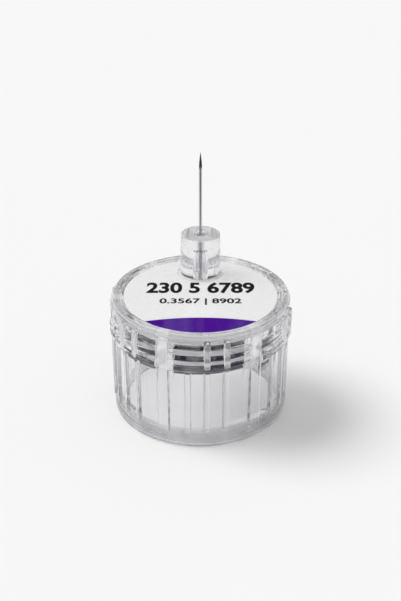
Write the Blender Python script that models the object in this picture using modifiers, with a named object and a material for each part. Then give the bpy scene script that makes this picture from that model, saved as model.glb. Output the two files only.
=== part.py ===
"""A single-use pen needle: a clear screw-on hub, a steel cannula glued in its boss, and a colour-coded label."""

import math

import bmesh
import bpy
from mathutils import Matrix, Vector

# Hub, the rim and the disc that carries the label
RIM_RADIUS = 0.0051
HUB_HEIGHT = 0.00728
RIM_BAND = 0.00068
RIM_CREST = 0.00008
RIM_ROUND = 0.00014
DISC_THICKNESS = 0.00056

# Hub, the collar below the rim, with its two scribed lines and the bead at its lower edge
COLLAR_DEPTH = 0.00221
COLLAR_FLARE = 0.00013
LINE_DEPTHS = (0.00125, 0.00157)
LINE_WIDTH = 0.00009
LINE_CUT = 0.00003
BEAD_HEIGHT = 0.00034
BEAD_PROUD = 0.00008

# Hub, the skirt and the ring that it stands on
SKIRT_INSET = 0.00008
BASE_PROUD = 0.00014
BASE_HEIGHT = 0.00098
BASE_SLOPE = 0.00026
BASE_ROUND = 0.00028

# Hub, the hollow that screws onto the pen
WALL_THICKNESS = 0.00052
MOUTH_RELIEF = 0.00022
MOUTH_DEPTH = 0.00112
MOUTH_TAPER = 0.00024
MOUTH_CHAMFER = 0.00006

# Thread in the hollow, one start, right-handed and broken behind each pad
THREAD_PITCH = 0.00075
THREAD_DEPTH = 0.0002
THREAD_CREST = 0.0001
THREAD_ROOT = 0.00034
THREAD_TOP_GAP = 0.00021
THREAD_LENGTH = 0.00195
THREAD_BREAK_ANGLE = 10.0
CREST_SETBACK = 0.00002

# Grip pattern: one wide pad, one short rib and two long ribs, repeated round the hub
MODULES = 6
FIRST_PAD = -24.0
PAD_ANGLE = 8.0
SHORT_RIB_ANGLES = (16.0,)
LONG_RIB_ANGLES = (28.0, 40.0)
GRIP_PROUD = 0.00017
RIB_WIDTH = 0.0003
COLLAR_RIB_PROUD = 0.00013
PAD_TOP_GAP = 0.0003
RIB_TOP_GAP = 0.00034

# Boss that holds the cannula, near the back edge of the label
BOSS_EDGE_GAP = 0.00028
BOSS_HEIGHT = 0.00263
BOSS_TOP_RADIUS = 0.00116
BOSS_BASE_RADIUS = 0.00124
BOSS_FLARE = 0.0001
BOSS_ROUND = 0.00007
GUIDE_LENGTH = 0.0009
GUIDE_RADIUS = 0.00072
GUIDE_END_RADIUS = 0.0006

# Passage through the boss: a dimple, a narrow channel and the glue well below it
DIMPLE_RADIUS = 0.00039
DIMPLE_DEPTH = 0.00022
CHANNEL_RADIUS = 0.00019
WELL_RADIUS = 0.00041
WELL_CEILING = 0.00108
WELL_CONE = 0.00022

# Cannula, a drawn steel tube ground to a point at both ends
CANNULA_DIAMETER = 0.00018
LUMEN_DIAMETER = 0.00009
EXPOSED_LENGTH = 0.005
REAR_STANDOFF = 0.0013
MAIN_BEVEL_LENGTH = 0.00095
LANCET_LENGTH = 0.0005
LANCET_TURN = 38.0
REAR_BEVEL_LENGTH = 0.0006

# Label and its colour field
LABEL_THICKNESS = 0.00005
LABEL_DEPTH = 0.00015
FIELD_CORNER_HALF_WIDTH = 0.00307
FIELD_ARC_RADIUS = 0.0116

# Clearance between pieces that touch
FIT_GAP = 0.00002

# Facets of the round forms
HUB_STEPS = 72
BOSS_STEPS = 40
CANNULA_STEPS = 16
ARC_STEPS = 60
THREAD_STEPS = 6
SHARP_ANGLE = 35.0
MERGE = 0.000001
OVERCUT = 0.001

COLLECTION_NAME = "pen_needle"
CUTTER_COLLECTION_NAME = "cutters"


def seat_height():
    """The height of the flat that the label lies on."""
    return HUB_HEIGHT - LABEL_DEPTH - LABEL_THICKNESS - FIT_GAP


def ceiling_height():
    """The height of the flat end of the hollow, where the pen's tip stops."""
    return seat_height() - DISC_THICKNESS


def boss_top_height():
    """The height of the boss's upper face."""
    return seat_height() + BOSS_HEIGHT


def collar_edge_height():
    """The height of the collar's lower edge."""
    return HUB_HEIGHT - COLLAR_DEPTH


def label_radius():
    """The radius of the label's edge."""
    return RIM_RADIUS - RIM_BAND


def recess_radius():
    """The radius of the recess that holds the label."""
    return label_radius() + FIT_GAP


def collar_radius():
    """The radius of the collar above its bead."""
    return RIM_RADIUS + COLLAR_FLARE


def skirt_radius():
    """The outer radius of the skirt's plain wall."""
    return RIM_RADIUS - SKIRT_INSET


def base_radius():
    """The outer radius of the ring at the foot of the skirt."""
    return skirt_radius() + BASE_PROUD


def grip_radius():
    """The outer radius of the pads, and of the ribs on the skirt."""
    return skirt_radius() + GRIP_PROUD


def bore_radius():
    """The radius of the hollow between the turns of its thread."""
    return skirt_radius() - WALL_THICKNESS


def bore_fillet():
    """The fillet at the end of the hollow, which leaves the flat end just inside the thread's crests."""
    return THREAD_DEPTH + CREST_SETBACK


def boss_foot_radius():
    """The radius of the boss where its flare meets the disc."""
    return BOSS_BASE_RADIUS + BOSS_FLARE


def boss_offset():
    """How far the boss stands behind the hub's axis."""
    return label_radius() - boss_foot_radius() - BOSS_EDGE_GAP


def rounded(centre_x, centre_z, radius, start, end, steps):
    """Points on an arc in the XZ plane, from one angle to another, in degrees from +X."""
    points = []
    for step in range(steps + 1):
        angle = math.radians(start + (end - start) * step / steps)
        points.append((centre_x + radius * math.cos(angle), centre_z + radius * math.sin(angle)))
    return points


def clear_scene():
    """Removes whatever the scene holds."""
    for old in list(bpy.data.objects):
        bpy.data.objects.remove(old)


def new_collection(name):
    """A collection linked to the scene."""
    collection = bpy.data.collections.new(name)
    bpy.context.scene.collection.children.link(collection)
    return collection


def new_material(name, colour, roughness, metallic=0.0, transmission=0.0, alpha=1.0):
    """A Principled material."""
    material = bpy.data.materials.new(name)
    material.use_nodes = True
    shader = material.node_tree.nodes["Principled BSDF"]
    shader.inputs["Base Color"].default_value = (*colour, 1.0)
    shader.inputs["Roughness"].default_value = roughness
    shader.inputs["Metallic"].default_value = metallic
    shader.inputs["Transmission Weight"].default_value = transmission
    shader.inputs["Alpha"].default_value = alpha
    material.diffuse_color = (*colour, alpha)
    return material


def new_object(name, data, collection, material=None):
    """An object in a collection, with its material."""
    made = bpy.data.objects.new(name, data)
    collection.objects.link(made)
    if material:
        data.materials.append(material)
    return made


def as_cutter(tool):
    """Hides a helper that only cuts or joins."""
    tool.hide_render = True
    tool.display_type = "WIRE"
    return tool


def turned(name, profile, steps, collection, material=None, closed=False):
    """A shape turned about its own Z axis from (radius, height) points that run down its outer side."""
    mesh = bpy.data.meshes.new(name)
    edges = [(i, i + 1) for i in range(len(profile) - 1)]
    if closed:
        edges.append((len(profile) - 1, 0))
    mesh.from_pydata([(radius, 0.0, height) for radius, height in profile], edges, [])
    made = new_object(name, mesh, collection, material)
    screw = made.modifiers.new("turn", "SCREW")
    screw.axis = "Z"
    screw.angle = math.tau
    screw.steps = steps
    screw.render_steps = steps
    screw.use_merge_vertices = True
    screw.merge_threshold = MERGE
    screw.use_smooth_shade = True
    return made


def combine(target, tool, operation):
    """Adds a Boolean with another object."""
    boolean = target.modifiers.new(tool.name, "BOOLEAN")
    boolean.operation = operation
    boolean.object = tool
    boolean.solver = "EXACT"


def finish(made):
    """Applies a mesh object's modifiers, and shades it smooth between its edges."""
    graph = bpy.context.evaluated_depsgraph_get()
    mesh = bpy.data.meshes.new_from_object(made.evaluated_get(graph))
    mesh.name = made.name
    made.modifiers.clear()
    made.data = mesh
    mesh.shade_smooth()
    mesh.set_sharp_from_angle(angle=math.radians(SHARP_ANGLE))


def scribed_lines():
    """The two shallow V lines round the collar, from the upper to the lower."""
    points = []
    for depth in LINE_DEPTHS:
        radius = RIM_RADIUS + COLLAR_FLARE * depth / COLLAR_DEPTH
        height = HUB_HEIGHT - depth
        points.append((radius, height + LINE_WIDTH / 2))
        points.append((radius - LINE_CUT, height))
        points.append((radius, height - LINE_WIDTH / 2))
    return points


def collar_profile():
    """The outside of the collar, from the rim's edge down to the skirt."""
    edge = collar_edge_height()
    flared = collar_radius()
    points = scribed_lines()
    points.append((flared, edge + BEAD_HEIGHT + BEAD_PROUD))
    points.append((flared + BEAD_PROUD, edge + BEAD_HEIGHT))
    points.append((flared + BEAD_PROUD, edge + BEAD_PROUD))
    points.append((flared, edge))
    points.append((skirt_radius(), edge - BEAD_PROUD))
    return points


def hub_profile():
    """The hub's section: over the label seat, down the outside, and up inside the hollow."""
    seat = seat_height()
    ceiling = ceiling_height()
    crest_end = RIM_RADIUS - RIM_ROUND
    mouth = bore_radius() + MOUTH_RELIEF
    points = [(0.0, seat), (recess_radius(), seat), (recess_radius(), HUB_HEIGHT - LABEL_DEPTH)]
    points.append((crest_end - RIM_CREST, HUB_HEIGHT))
    points += rounded(crest_end, HUB_HEIGHT - RIM_ROUND, RIM_ROUND, 90, 0, 3)
    points += collar_profile()
    points.append((skirt_radius(), BASE_HEIGHT + BASE_SLOPE))
    points.append((base_radius(), BASE_HEIGHT))
    points += rounded(base_radius() - BASE_ROUND, BASE_ROUND, BASE_ROUND, 0, -90, 4)
    points.append((mouth + MOUTH_CHAMFER, 0.0))
    points.append((mouth, MOUTH_CHAMFER))
    points.append((mouth, MOUTH_DEPTH))
    points.append((bore_radius(), MOUTH_DEPTH + MOUTH_TAPER))
    fillet = bore_fillet()
    points += rounded(bore_radius() - fillet, ceiling - fillet, fillet, 0, 90, 3)
    points.append((0.0, ceiling))
    return points


def boss_profile():
    """The boss above the disc and the guide below it, as one stem through the disc."""
    seat = seat_height()
    top = boss_top_height()
    ceiling = ceiling_height()
    foot = boss_foot_radius()
    points = [(0.0, top)]
    points += rounded(BOSS_TOP_RADIUS - BOSS_ROUND, top - BOSS_ROUND, BOSS_ROUND, 90, 0, 3)
    points.append((BOSS_BASE_RADIUS, seat + 2 * BOSS_FLARE))
    points.append((BOSS_BASE_RADIUS + BOSS_FLARE / 3, seat + BOSS_FLARE))
    points.append((foot, seat + BOSS_FLARE / 4))
    points.append((foot, seat - DISC_THICKNESS / 3))
    points.append((GUIDE_RADIUS, seat - DISC_THICKNESS / 2))
    points.append((GUIDE_RADIUS, ceiling))
    points.append((GUIDE_END_RADIUS, ceiling - GUIDE_LENGTH))
    points.append((0.0, ceiling - GUIDE_LENGTH))
    return points


def passage_profile():
    """The dimple, the channel and the glue well, as the tool that cuts them."""
    top = boss_top_height()
    points = [(0.0, top + OVERCUT), (DIMPLE_RADIUS, top + OVERCUT), (DIMPLE_RADIUS, top)]
    points.append((CHANNEL_RADIUS, top - DIMPLE_DEPTH))
    points.append((CHANNEL_RADIUS, top - WELL_CEILING))
    points.append((WELL_RADIUS, top - WELL_CEILING - WELL_CONE))
    points.append((WELL_RADIUS, ceiling_height() - GUIDE_LENGTH - OVERCUT))
    points.append((0.0, ceiling_height() - GUIDE_LENGTH - OVERCUT))
    return points


def add_sweep(bm, corners, start_angle, sweep_angle, steps, rise=0.0):
    """Adds a (radius, height) section swept round the axis from an angle in degrees from the front."""
    turn = Matrix.Rotation(math.radians(start_angle - 90.0), 3, "Z")
    verts = [bm.verts.new(turn @ Vector((radius, 0.0, height))) for radius, height in corners]
    face = bm.faces.new(verts)
    geometry = [face, *face.edges, *face.verts]
    bmesh.ops.spin(bm, geom=geometry, cent=(0, 0, 0), axis=(0, 0, 1), dvec=(0, 0, rise / steps),
                   angle=math.radians(sweep_angle), steps=steps)


def add_pad_sector(bm, inner, outer, low, high, pad_angle):
    """Adds a block as wide as a pad that follows the hub's round."""
    corners = [(inner, low), (outer, low), (outer, high), (inner, high)]
    add_sweep(bm, corners, pad_angle - PAD_ANGLE / 2, PAD_ANGLE, 2)


def thread_heights(angle):
    """The heights of the thread's turns at an angle in degrees from the front."""
    ceiling = ceiling_height()
    climb = THREAD_PITCH * angle / 360.0
    top = ceiling - THREAD_TOP_GAP + climb
    count = math.ceil(THREAD_LENGTH / THREAD_PITCH) + 1
    heights = [top - THREAD_PITCH * turn for turn in range(count)]
    return [z for z in heights if ceiling - THREAD_LENGTH < z < ceiling - THREAD_ROOT / 2]


def thread_turns(collection):
    """The ridges of the thread, each from one pad to the next."""
    bm = bmesh.new()
    root = bore_radius() + THREAD_DEPTH / 4
    crest = bore_radius() - THREAD_DEPTH
    module = 360.0 / MODULES
    sweep = module - THREAD_BREAK_ANGLE
    rise = THREAD_PITCH * sweep / 360.0
    for pad_angle in module_angles():
        middle = pad_angle + module / 2
        for height in thread_heights(middle):
            low = height - rise / 2
            corners = [(root, low - THREAD_ROOT / 2), (root, low + THREAD_ROOT / 2),
                       (crest, low + THREAD_CREST / 2), (crest, low - THREAD_CREST / 2)]
            add_sweep(bm, corners, middle - sweep / 2, sweep, THREAD_STEPS, rise)
    bmesh.ops.recalc_face_normals(bm, faces=bm.faces)
    return as_cutter(new_object("thread_turns", finished_mesh("thread_turns", bm), collection))


def add_rib(bm, outer_radius, low, high, angle):
    """Adds an upright rib with round ends, half sunk in the wall, at an angle in degrees from the front."""
    made = bmesh.ops.create_uvsphere(bm, u_segments=10, v_segments=6, radius=RIB_WIDTH / 2)
    place = Matrix.Rotation(math.radians(angle), 4, "Z") @ Matrix.Translation(
        (0.0, -(outer_radius - RIB_WIDTH / 2), 0.0))
    for vert in made["verts"]:
        if vert.co.z > MERGE:
            vert.co.z += high - RIB_WIDTH / 2
        else:
            vert.co.z += low + RIB_WIDTH / 2
        vert.co = place @ vert.co


def module_angles():
    """The angle of each pad, in degrees from the front and growing to the right."""
    return [FIRST_PAD + 360.0 / MODULES * index for index in range(MODULES)]


def pad_slots(collection):
    """The cutters that take the collar down to the grip radius where the pads cross it."""
    bm = bmesh.new()
    for angle in module_angles():
        add_pad_sector(bm, grip_radius(), grip_radius() + OVERCUT, collar_edge_height() - OVERCUT / 2,
                       HUB_HEIGHT - PAD_TOP_GAP / 2, angle)
    bmesh.ops.recalc_face_normals(bm, faces=bm.faces)
    return as_cutter(new_object("pad_slots", finished_mesh("pad_slots", bm), collection))


def grip_pattern(collection):
    """The pads and ribs that are joined to the skirt and the collar."""
    bm = bmesh.new()
    wall = skirt_radius() - WALL_THICKNESS / 2
    skirt_top = collar_edge_height() + BEAD_PROUD
    for pad_angle in module_angles():
        add_pad_sector(bm, wall, grip_radius(), BASE_HEIGHT - BASE_SLOPE, HUB_HEIGHT - PAD_TOP_GAP,
                       pad_angle)
        for angle in SHORT_RIB_ANGLES + LONG_RIB_ANGLES:
            add_rib(bm, grip_radius(), BASE_HEIGHT - RIB_WIDTH / 2, skirt_top, pad_angle + angle)
        for angle in LONG_RIB_ANGLES:
            add_rib(bm, collar_radius() + COLLAR_RIB_PROUD, skirt_top + FIT_GAP,
                    HUB_HEIGHT - RIB_TOP_GAP, pad_angle + angle)
    bmesh.ops.recalc_face_normals(bm, faces=bm.faces)
    return as_cutter(new_object("grip_pattern", finished_mesh("grip_pattern", bm), collection))


def finished_mesh(name, bm):
    """A mesh from a bmesh, which is freed."""
    mesh = bpy.data.meshes.new(name)
    bm.to_mesh(mesh)
    bm.free()
    return mesh


def make_hub(collection, cutters):
    """The clear moulding: rim, disc, collar, skirt, base ring, grip pattern, thread and boss."""
    material = new_material("clear_plastic", (0.90, 0.91, 0.93), 0.06, transmission=0.9, alpha=0.4)
    hub = turned("hub", hub_profile(), HUB_STEPS, collection, material)
    boss = as_cutter(turned("boss", boss_profile(), BOSS_STEPS, cutters))
    passage = as_cutter(turned("passage", passage_profile(), BOSS_STEPS, cutters))
    for tool in (boss, passage):
        tool.location.y = boss_offset()
    combine(hub, pad_slots(cutters), "DIFFERENCE")
    combine(hub, grip_pattern(cutters), "UNION")
    combine(hub, thread_turns(cutters), "UNION")
    combine(hub, boss, "UNION")
    combine(hub, passage, "DIFFERENCE")
    return hub


def add_grinding_block(bm, tip_height, length, turn, upward):
    """Adds a block that takes off all that lies in front of a ground face."""
    side = 40 * CANNULA_DIAMETER
    block = bmesh.ops.create_cube(bm, size=side)
    flip = Matrix.Identity(4) if upward else Matrix.Rotation(math.pi, 4, "Y")
    tip_side = Matrix.Translation((0.0, CANNULA_DIAMETER / 2, 0.0))
    place = (Matrix.Translation((0.0, 0.0, tip_height)) @ flip
             @ Matrix.Rotation(math.radians(turn), 4, "Z") @ tip_side
             @ Matrix.Rotation(-math.atan2(CANNULA_DIAMETER, length), 4, "X")
             @ Matrix.Translation((0.0, -side / 2, 0.0)))
    bmesh.ops.transform(bm, matrix=place, verts=block["verts"])


def make_cannula(collection, cutters):
    """The steel tube, from its point in front to its point behind."""
    material = new_material("steel", (0.55, 0.56, 0.58), 0.25, metallic=1.0)
    tip = boss_top_height() + EXPOSED_LENGTH
    outer = CANNULA_DIAMETER / 2
    inner = LUMEN_DIAMETER / 2
    profile = [(outer, tip), (outer, REAR_STANDOFF), (inner, REAR_STANDOFF), (inner, tip)]
    cannula = turned("cannula", profile, CANNULA_STEPS, collection, material, closed=True)
    cannula.location.y = boss_offset()
    lancet_tip = tip + LANCET_LENGTH * (1 - math.cos(math.radians(LANCET_TURN))) / 2
    grinds = [
        ("front_bevel", tip, MAIN_BEVEL_LENGTH, 0.0, True),
        ("front_lancet_left", lancet_tip, LANCET_LENGTH, -LANCET_TURN, True),
        ("front_lancet_right", lancet_tip, LANCET_LENGTH, LANCET_TURN, True),
        ("rear_bevel", REAR_STANDOFF, REAR_BEVEL_LENGTH, 0.0, False),
    ]
    for name, height, length, turn, upward in grinds:
        bm = bmesh.new()
        add_grinding_block(bm, height, length, turn, upward)
        tool = as_cutter(new_object(name, finished_mesh(name, bm), cutters))
        tool.location.y = boss_offset()
        combine(cannula, tool, "DIFFERENCE")
    return cannula


def make_adhesive(collection):
    """The cured glue: a column in the well, a thread of it in the channel and a fillet in the dimple."""
    material = new_material("adhesive", (0.88, 0.88, 0.86), 0.12, transmission=0.6, alpha=0.6)
    top = boss_top_height()
    inner = CANNULA_DIAMETER / 2 + FIT_GAP
    column = WELL_RADIUS - FIT_GAP
    neck = CHANNEL_RADIUS - FIT_GAP
    shoulder = top - WELL_CEILING - WELL_CONE - FIT_GAP
    low = ceiling_height() - GUIDE_LENGTH + 2 * WELL_CONE
    profile = [
        (inner, top - DIMPLE_DEPTH / 4),
        (DIMPLE_RADIUS - 3 * FIT_GAP, top - 2 * FIT_GAP),
        (neck, top - DIMPLE_DEPTH - FIT_GAP),
        (neck, shoulder + WELL_CONE - FIT_GAP),
        (column, shoulder - FIT_GAP),
        (column, low),
        (inner, low),
    ]
    adhesive = turned("adhesive", profile, BOSS_STEPS, collection, material, closed=True)
    adhesive.location.y = boss_offset()
    return adhesive


def field_corner_angle():
    """Half the angle that the colour field takes of the label's edge, seen from the axis."""
    return math.asin(FIELD_CORNER_HALF_WIDTH / label_radius())


def field_arc(steps, gap):
    """Points of the field's inner edge, from the right corner to the left, bulging to the back."""
    corner_y = -label_radius() * math.cos(field_corner_angle())
    centre_y = corner_y - math.sqrt(FIELD_ARC_RADIUS ** 2 - FIELD_CORNER_HALF_WIDTH ** 2) + gap
    half = math.asin(FIELD_CORNER_HALF_WIDTH / FIELD_ARC_RADIUS)
    points = []
    for step in range(steps + 1):
        angle = half - 2 * half * step / steps
        points.append((FIELD_ARC_RADIUS * math.sin(angle), centre_y + FIELD_ARC_RADIUS * math.cos(angle)))
    return points


def edge_arc(start, end, steps):
    """Points on the label's edge between two angles from the front, growing to the right."""
    points = []
    for step in range(steps + 1):
        angle = start + (end - start) * step / steps
        points.append((label_radius() * math.sin(angle), -label_radius() * math.cos(angle)))
    return points


def circle(centre_y, radius, steps):
    """Points of a circle centred on the Y axis."""
    angles = [math.tau * step / steps for step in range(steps)]
    return [(radius * math.cos(angle), centre_y + radius * math.sin(angle)) for angle in angles]


def flat_piece(name, outlines, height, collection, material):
    """A thin flat piece from closed outlines, the first its edge and the rest its holes."""
    curve = bpy.data.curves.new(name, "CURVE")
    curve.dimensions = "2D"
    curve.fill_mode = "BOTH"
    curve.extrude = LABEL_THICKNESS / 2
    for outline in outlines:
        spline = curve.splines.new("POLY")
        spline.points.add(len(outline) - 1)
        for point, (x, y) in zip(spline.points, outline):
            point.co = (x, y, 0.0, 1.0)
        spline.use_cyclic_u = True
    made = new_object(name, curve, collection, material)
    made.location.z = height + LABEL_THICKNESS / 2
    return made


def make_label(collection):
    """The pale film, with a hole for the boss and its front taken by the colour field."""
    material = new_material("label_film", (0.84, 0.84, 0.84), 0.35)
    corner = field_corner_angle()
    outline = edge_arc(corner, math.tau - corner, ARC_STEPS)
    outline += field_arc(ARC_STEPS // 3, FIT_GAP)[::-1][1:-1]
    hole = circle(boss_offset(), boss_foot_radius() + FIT_GAP, BOSS_STEPS)
    return flat_piece("label", [outline, hole], seat_height() + FIT_GAP / 2, collection, material)


def make_colour_field(collection):
    """The violet film that codes the needle's size, at the label's front."""
    material = new_material("violet_film", (0.074, 0.010, 0.292), 0.25)
    corner = field_corner_angle()
    outline = edge_arc(-corner, corner, ARC_STEPS // 3)
    outline += field_arc(ARC_STEPS // 3, 0.0)[1:-1]
    return flat_piece("colour_field", [outline], seat_height() + FIT_GAP / 2, collection, material)


def main():
    """Builds the whole needle."""
    clear_scene()
    parts = new_collection(COLLECTION_NAME)
    cutters = new_collection(CUTTER_COLLECTION_NAME)
    turned_pieces = [make_hub(parts, cutters), make_cannula(parts, cutters), make_adhesive(parts)]
    make_label(parts)
    make_colour_field(parts)
    for piece in turned_pieces:
        finish(piece)


main()
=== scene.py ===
"""A single-use pen needle that stands on the open end of its clear hub, on a pale floor.

The hub, the cannula, the glue and the printed digits are built here in finer detail than the
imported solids, in the same frame and inside the same box. Sizes are in metres. An angle round
the hub is in degrees from the front, which is -Y, and grows towards +X.
"""

import logging
import math
from collections.abc import Iterable, Sequence
from dataclasses import dataclass
from enum import Enum, IntEnum

import bmesh
import bpy
from mathutils import Matrix, Vector


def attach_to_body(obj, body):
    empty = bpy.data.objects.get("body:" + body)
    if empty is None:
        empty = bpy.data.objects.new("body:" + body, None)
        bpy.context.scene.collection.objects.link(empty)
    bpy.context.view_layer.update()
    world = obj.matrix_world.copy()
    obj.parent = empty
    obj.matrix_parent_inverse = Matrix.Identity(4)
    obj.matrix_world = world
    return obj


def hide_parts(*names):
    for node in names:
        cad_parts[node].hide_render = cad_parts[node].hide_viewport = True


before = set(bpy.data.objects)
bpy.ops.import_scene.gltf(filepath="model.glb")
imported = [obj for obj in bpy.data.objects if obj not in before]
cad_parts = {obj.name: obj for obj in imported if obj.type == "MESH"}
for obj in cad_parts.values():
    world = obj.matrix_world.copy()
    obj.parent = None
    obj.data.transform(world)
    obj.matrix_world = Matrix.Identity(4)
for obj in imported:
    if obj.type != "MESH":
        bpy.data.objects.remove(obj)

LOG = logging.getLogger("pen_needle")
Point = tuple[float, float]
Triple = tuple[float, float, float]
Socket = bpy.types.NodeSocket
Sockets = dict[str | int, object]

# Where the boss and the cannula stand, the boss's upper face, and the lower end of the glue
AXIS_Y = 0.0028
BOSS_TOP = 0.00969
COLUMN_LOW = 0.00604

# Two heights this near count as one
SAME_HEIGHT = 1e-7
# Copied sectors may lie this far apart at their seam
SEAM = 2e-7
# A vertex this near a grinding plane counts as on it
ON_PLANE = 1e-9
# Two points of a section that are farther apart than this are kept as two
APART = 1e-6

# Roundings below each radius take this many steps
ROUNDING_STEPS = ((0.00004, 2), (0.00009, 3), (math.inf, 6))
STRAIGHT = math.radians(88.5)
SHARP_ANGLE = math.radians(35.0)

# Where a noise mask turns from one finish to the other
MASK_SPAN = (0.3, 0.75)
STREAK_SPAN = (0.35, 0.65)


class Body(Enum):
    """The bodies that a piece can ride on."""

    ROOT = "root"


class Slot(Enum):
    """The record's material slots."""

    CLEAR_PLASTIC = "clear_plastic"
    STEEL = "steel"
    ADHESIVE = "adhesive"
    LABEL_FILM = "label_film"
    VIOLET_FILM = "violet_film"


class Zone(IntEnum):
    """The parts of the hub that have a finish of their own, by the index of their faces; some carry painted
    shade and some painted light.
    """

    CLEAR = 0
    # Thread ridges: their near-black colour is painted shade for the dark reflections in clear ridges
    THREAD = 1
    # Wall between the thread ridges: its mid grey is painted shade
    GROOVE = 2
    RIM = 3
    PASSAGE = 4
    # Ring at the foot: its darker grey is painted shade
    FOOT = 5
    BOSS = 6
    # Rib flanks, pad sides and the ring's shoulder: their darker grey is painted shade along edges
    FLANK = 7
    # Pads, collar ribs, the ring's lower groove and the boss's upper face: satin scatter with painted light
    SOFT = 8
    FILLET = 9


class Metal(IntEnum):
    """The parts of the cannula that have a finish of their own, by the index of their faces; the ground faces
    and the lumen carry painted shade, the length in the glue painted light.
    """

    DRAWN = 0
    # Ground bevels and the lumen: near black, painted dark reflection on the bevels and painted shade in the
    # lumen
    GROUND = 1
    # The length in the glue: its lighter steel is painted light
    BONDED = 2


def grey(level: float, blue: float | None = None) -> Triple:
    """A grey, or one with a blue of its own."""
    return (level, level, level if blue is None else blue)


def opaque(colour: Triple) -> tuple[float, float, float, float]:
    """A colour with full alpha."""
    return (*colour, 1.0)


class NodeSheet:
    """Places nodes in one tree and joins them."""

    def __init__(self, tree: bpy.types.NodeTree) -> None:
        """Keeps the tree that the nodes go into."""
        self.tree = tree

    def fill(self, node: bpy.types.Node, sockets: Sockets) -> None:
        """Gives a node's inputs plain values or other nodes' outputs.

        Args:
            node: The node.
            sockets: What each input takes, by its name or index.
        """
        for name, value in sockets.items():
            if isinstance(value, Socket):
                self.tree.links.new(value, node.inputs[name])
            else:
                node.inputs[name].default_value = value

    def add(self, kind: str, sockets: Sockets | None = None, **settings: object) -> bpy.types.Node:
        """Adds a shader node.

        Args:
            kind: The node's type, without the words that all of them start with.
            sockets: What each input takes, by its name or index, a value or another node's output.
            **settings: The node's own properties.

        Returns:
            The new node.
        """
        node = self.tree.nodes.new("ShaderNode" + kind)
        for name, value in settings.items():
            setattr(node, name, value)
        self.fill(node, sockets or {})
        return node

    def group(self, tree: bpy.types.NodeTree, *values: float) -> bpy.types.bpy_prop_collection:
        """Places a group with its inputs in their order, and gives its outputs."""
        return self.add("Group", dict(enumerate(values)), node_tree=tree).outputs

    def place(self, kind: str = "Object") -> Socket:
        """Adds texture coordinates of one kind."""
        return self.add("TexCoord").outputs[kind]

    def noise(self, scale: float | Socket, detail: float, stretch: Triple | None = None) -> Socket:
        """Adds noise in the object's own coordinates.

        Args:
            scale: How many waves it has in a metre.
            detail: How many finer layers it has.
            stretch: A factor for each axis, below 1 where it is drawn out.

        Returns:
            The noise.
        """
        place = self.place()
        if stretch:
            place = self.add("Mapping", {"Vector": place, "Scale": stretch}).outputs["Vector"]
        return self.add("TexNoise", {"Vector": place, "Scale": scale, "Detail": detail}).outputs["Fac"]

    def remap(self, value: Socket, start: float | Socket, end: float, low: float = 0.0,
              high: float = 1.0) -> Socket:
        """Turns a number between start and end into one between low and high."""
        sockets = {"Value": value, "From Min": start, "From Max": end, "To Min": low, "To Max": high}
        return self.add("MapRange", sockets).outputs["Result"]

    def mix(self, share: Socket, first: object, second: object) -> Socket:
        """Mixes two colours with alpha, the second by its share."""
        return self.add("Mix", {0: share, 6: first, 7: second}, data_type="RGBA").outputs[2]

    def work_out(self, operation: str, *values: float | Socket) -> Socket:
        """Adds one step of arithmetic."""
        return self.add("Math", dict(enumerate(values)), operation=operation).outputs[0]

    def ramp(self, value: Socket, stops: Iterable[tuple[float, Triple]]) -> Socket:
        """Adds a colour ramp.

        Args:
            value: What it reads.
            stops: Its places and colours, from the lowest.

        Returns:
            Its colour output.
        """
        node = self.add("ValToRGB", {"Fac": value})
        elements = node.color_ramp.elements
        stops = list(stops)
        while len(elements) < len(stops):
            elements.new(0.5)
        for element, (place, colour) in zip(elements, stops):
            element.position = place
            element.color = opaque(colour)
        return node.outputs["Color"]


def new_group(name: str, inputs: Sequence[str], outputs: dict[str, str]) -> NodeSheet:
    """Starts a shader node group.

    Args:
        name: The group's name.
        inputs: The names of its number inputs.
        outputs: The name of each output and what it puts out.

    Returns:
        A sheet on the group's tree, whose end nodes are named in and out.
    """
    tree = bpy.data.node_groups.new(name, "ShaderNodeTree")
    for label in inputs:
        tree.interface.new_socket(label, in_out="INPUT", socket_type="NodeSocketFloat")
    for label, kind in outputs.items():
        tree.interface.new_socket(label, in_out="OUTPUT", socket_type="NodeSocket" + kind)
    tree.nodes.new("NodeGroupInput").name = "in"
    tree.nodes.new("NodeGroupOutput").name = "out"
    return NodeSheet(tree)


class SurfaceEffects:
    """The shader node groups that several finishes share."""

    def __init__(self) -> None:
        """Builds each group once: slight waves, lines along Z, and specks."""
        self.ripple = self._waves("surface_ripple", 2.0)
        self.streaks = self._waves("long_streaks", 3.0, (1.0, 1.0, 0.02))
        self.specks = self._specks()

    def _waves(self, name: str, detail: float, stretch: Triple | None = None) -> bpy.types.NodeTree:
        """Makes a group with a noise, as a mask and as the normal of a surface that follows it.

        Args:
            name: The group's name.
            detail: How many finer layers the noise has.
            stretch: A factor for each axis, below 1 where it is drawn out.

        Returns:
            The group.
        """
        sheet = new_group(name, ("Scale", "Height"), {"Mask": "Float", "Normal": "Vector"})
        given = sheet.tree.nodes["in"].outputs
        mask = sheet.noise(given["Scale"], detail, stretch)
        bump = sheet.add("Bump", {"Distance": given["Height"], "Height": mask})
        sheet.fill(sheet.tree.nodes["out"], {"Mask": mask, "Normal": bump.outputs["Normal"]})
        return sheet.tree

    def _specks(self) -> bpy.types.NodeTree:
        """Makes a group with fine dust and pinholes.

        Returns:
            The group, whose mask is 1 in a few small places.
        """
        sheet = new_group("fine_specks", ("Scale", "Amount"), {"Mask": "Float"})
        given = sheet.tree.nodes["in"].outputs
        cells = sheet.add("TexVoronoi", {"Vector": sheet.place(), "Scale": given["Scale"]})
        mask = sheet.remap(cells.outputs["Distance"], given["Amount"], 0.0)
        sheet.fill(sheet.tree.nodes["out"], {"Mask": mask})
        return sheet.tree


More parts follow.
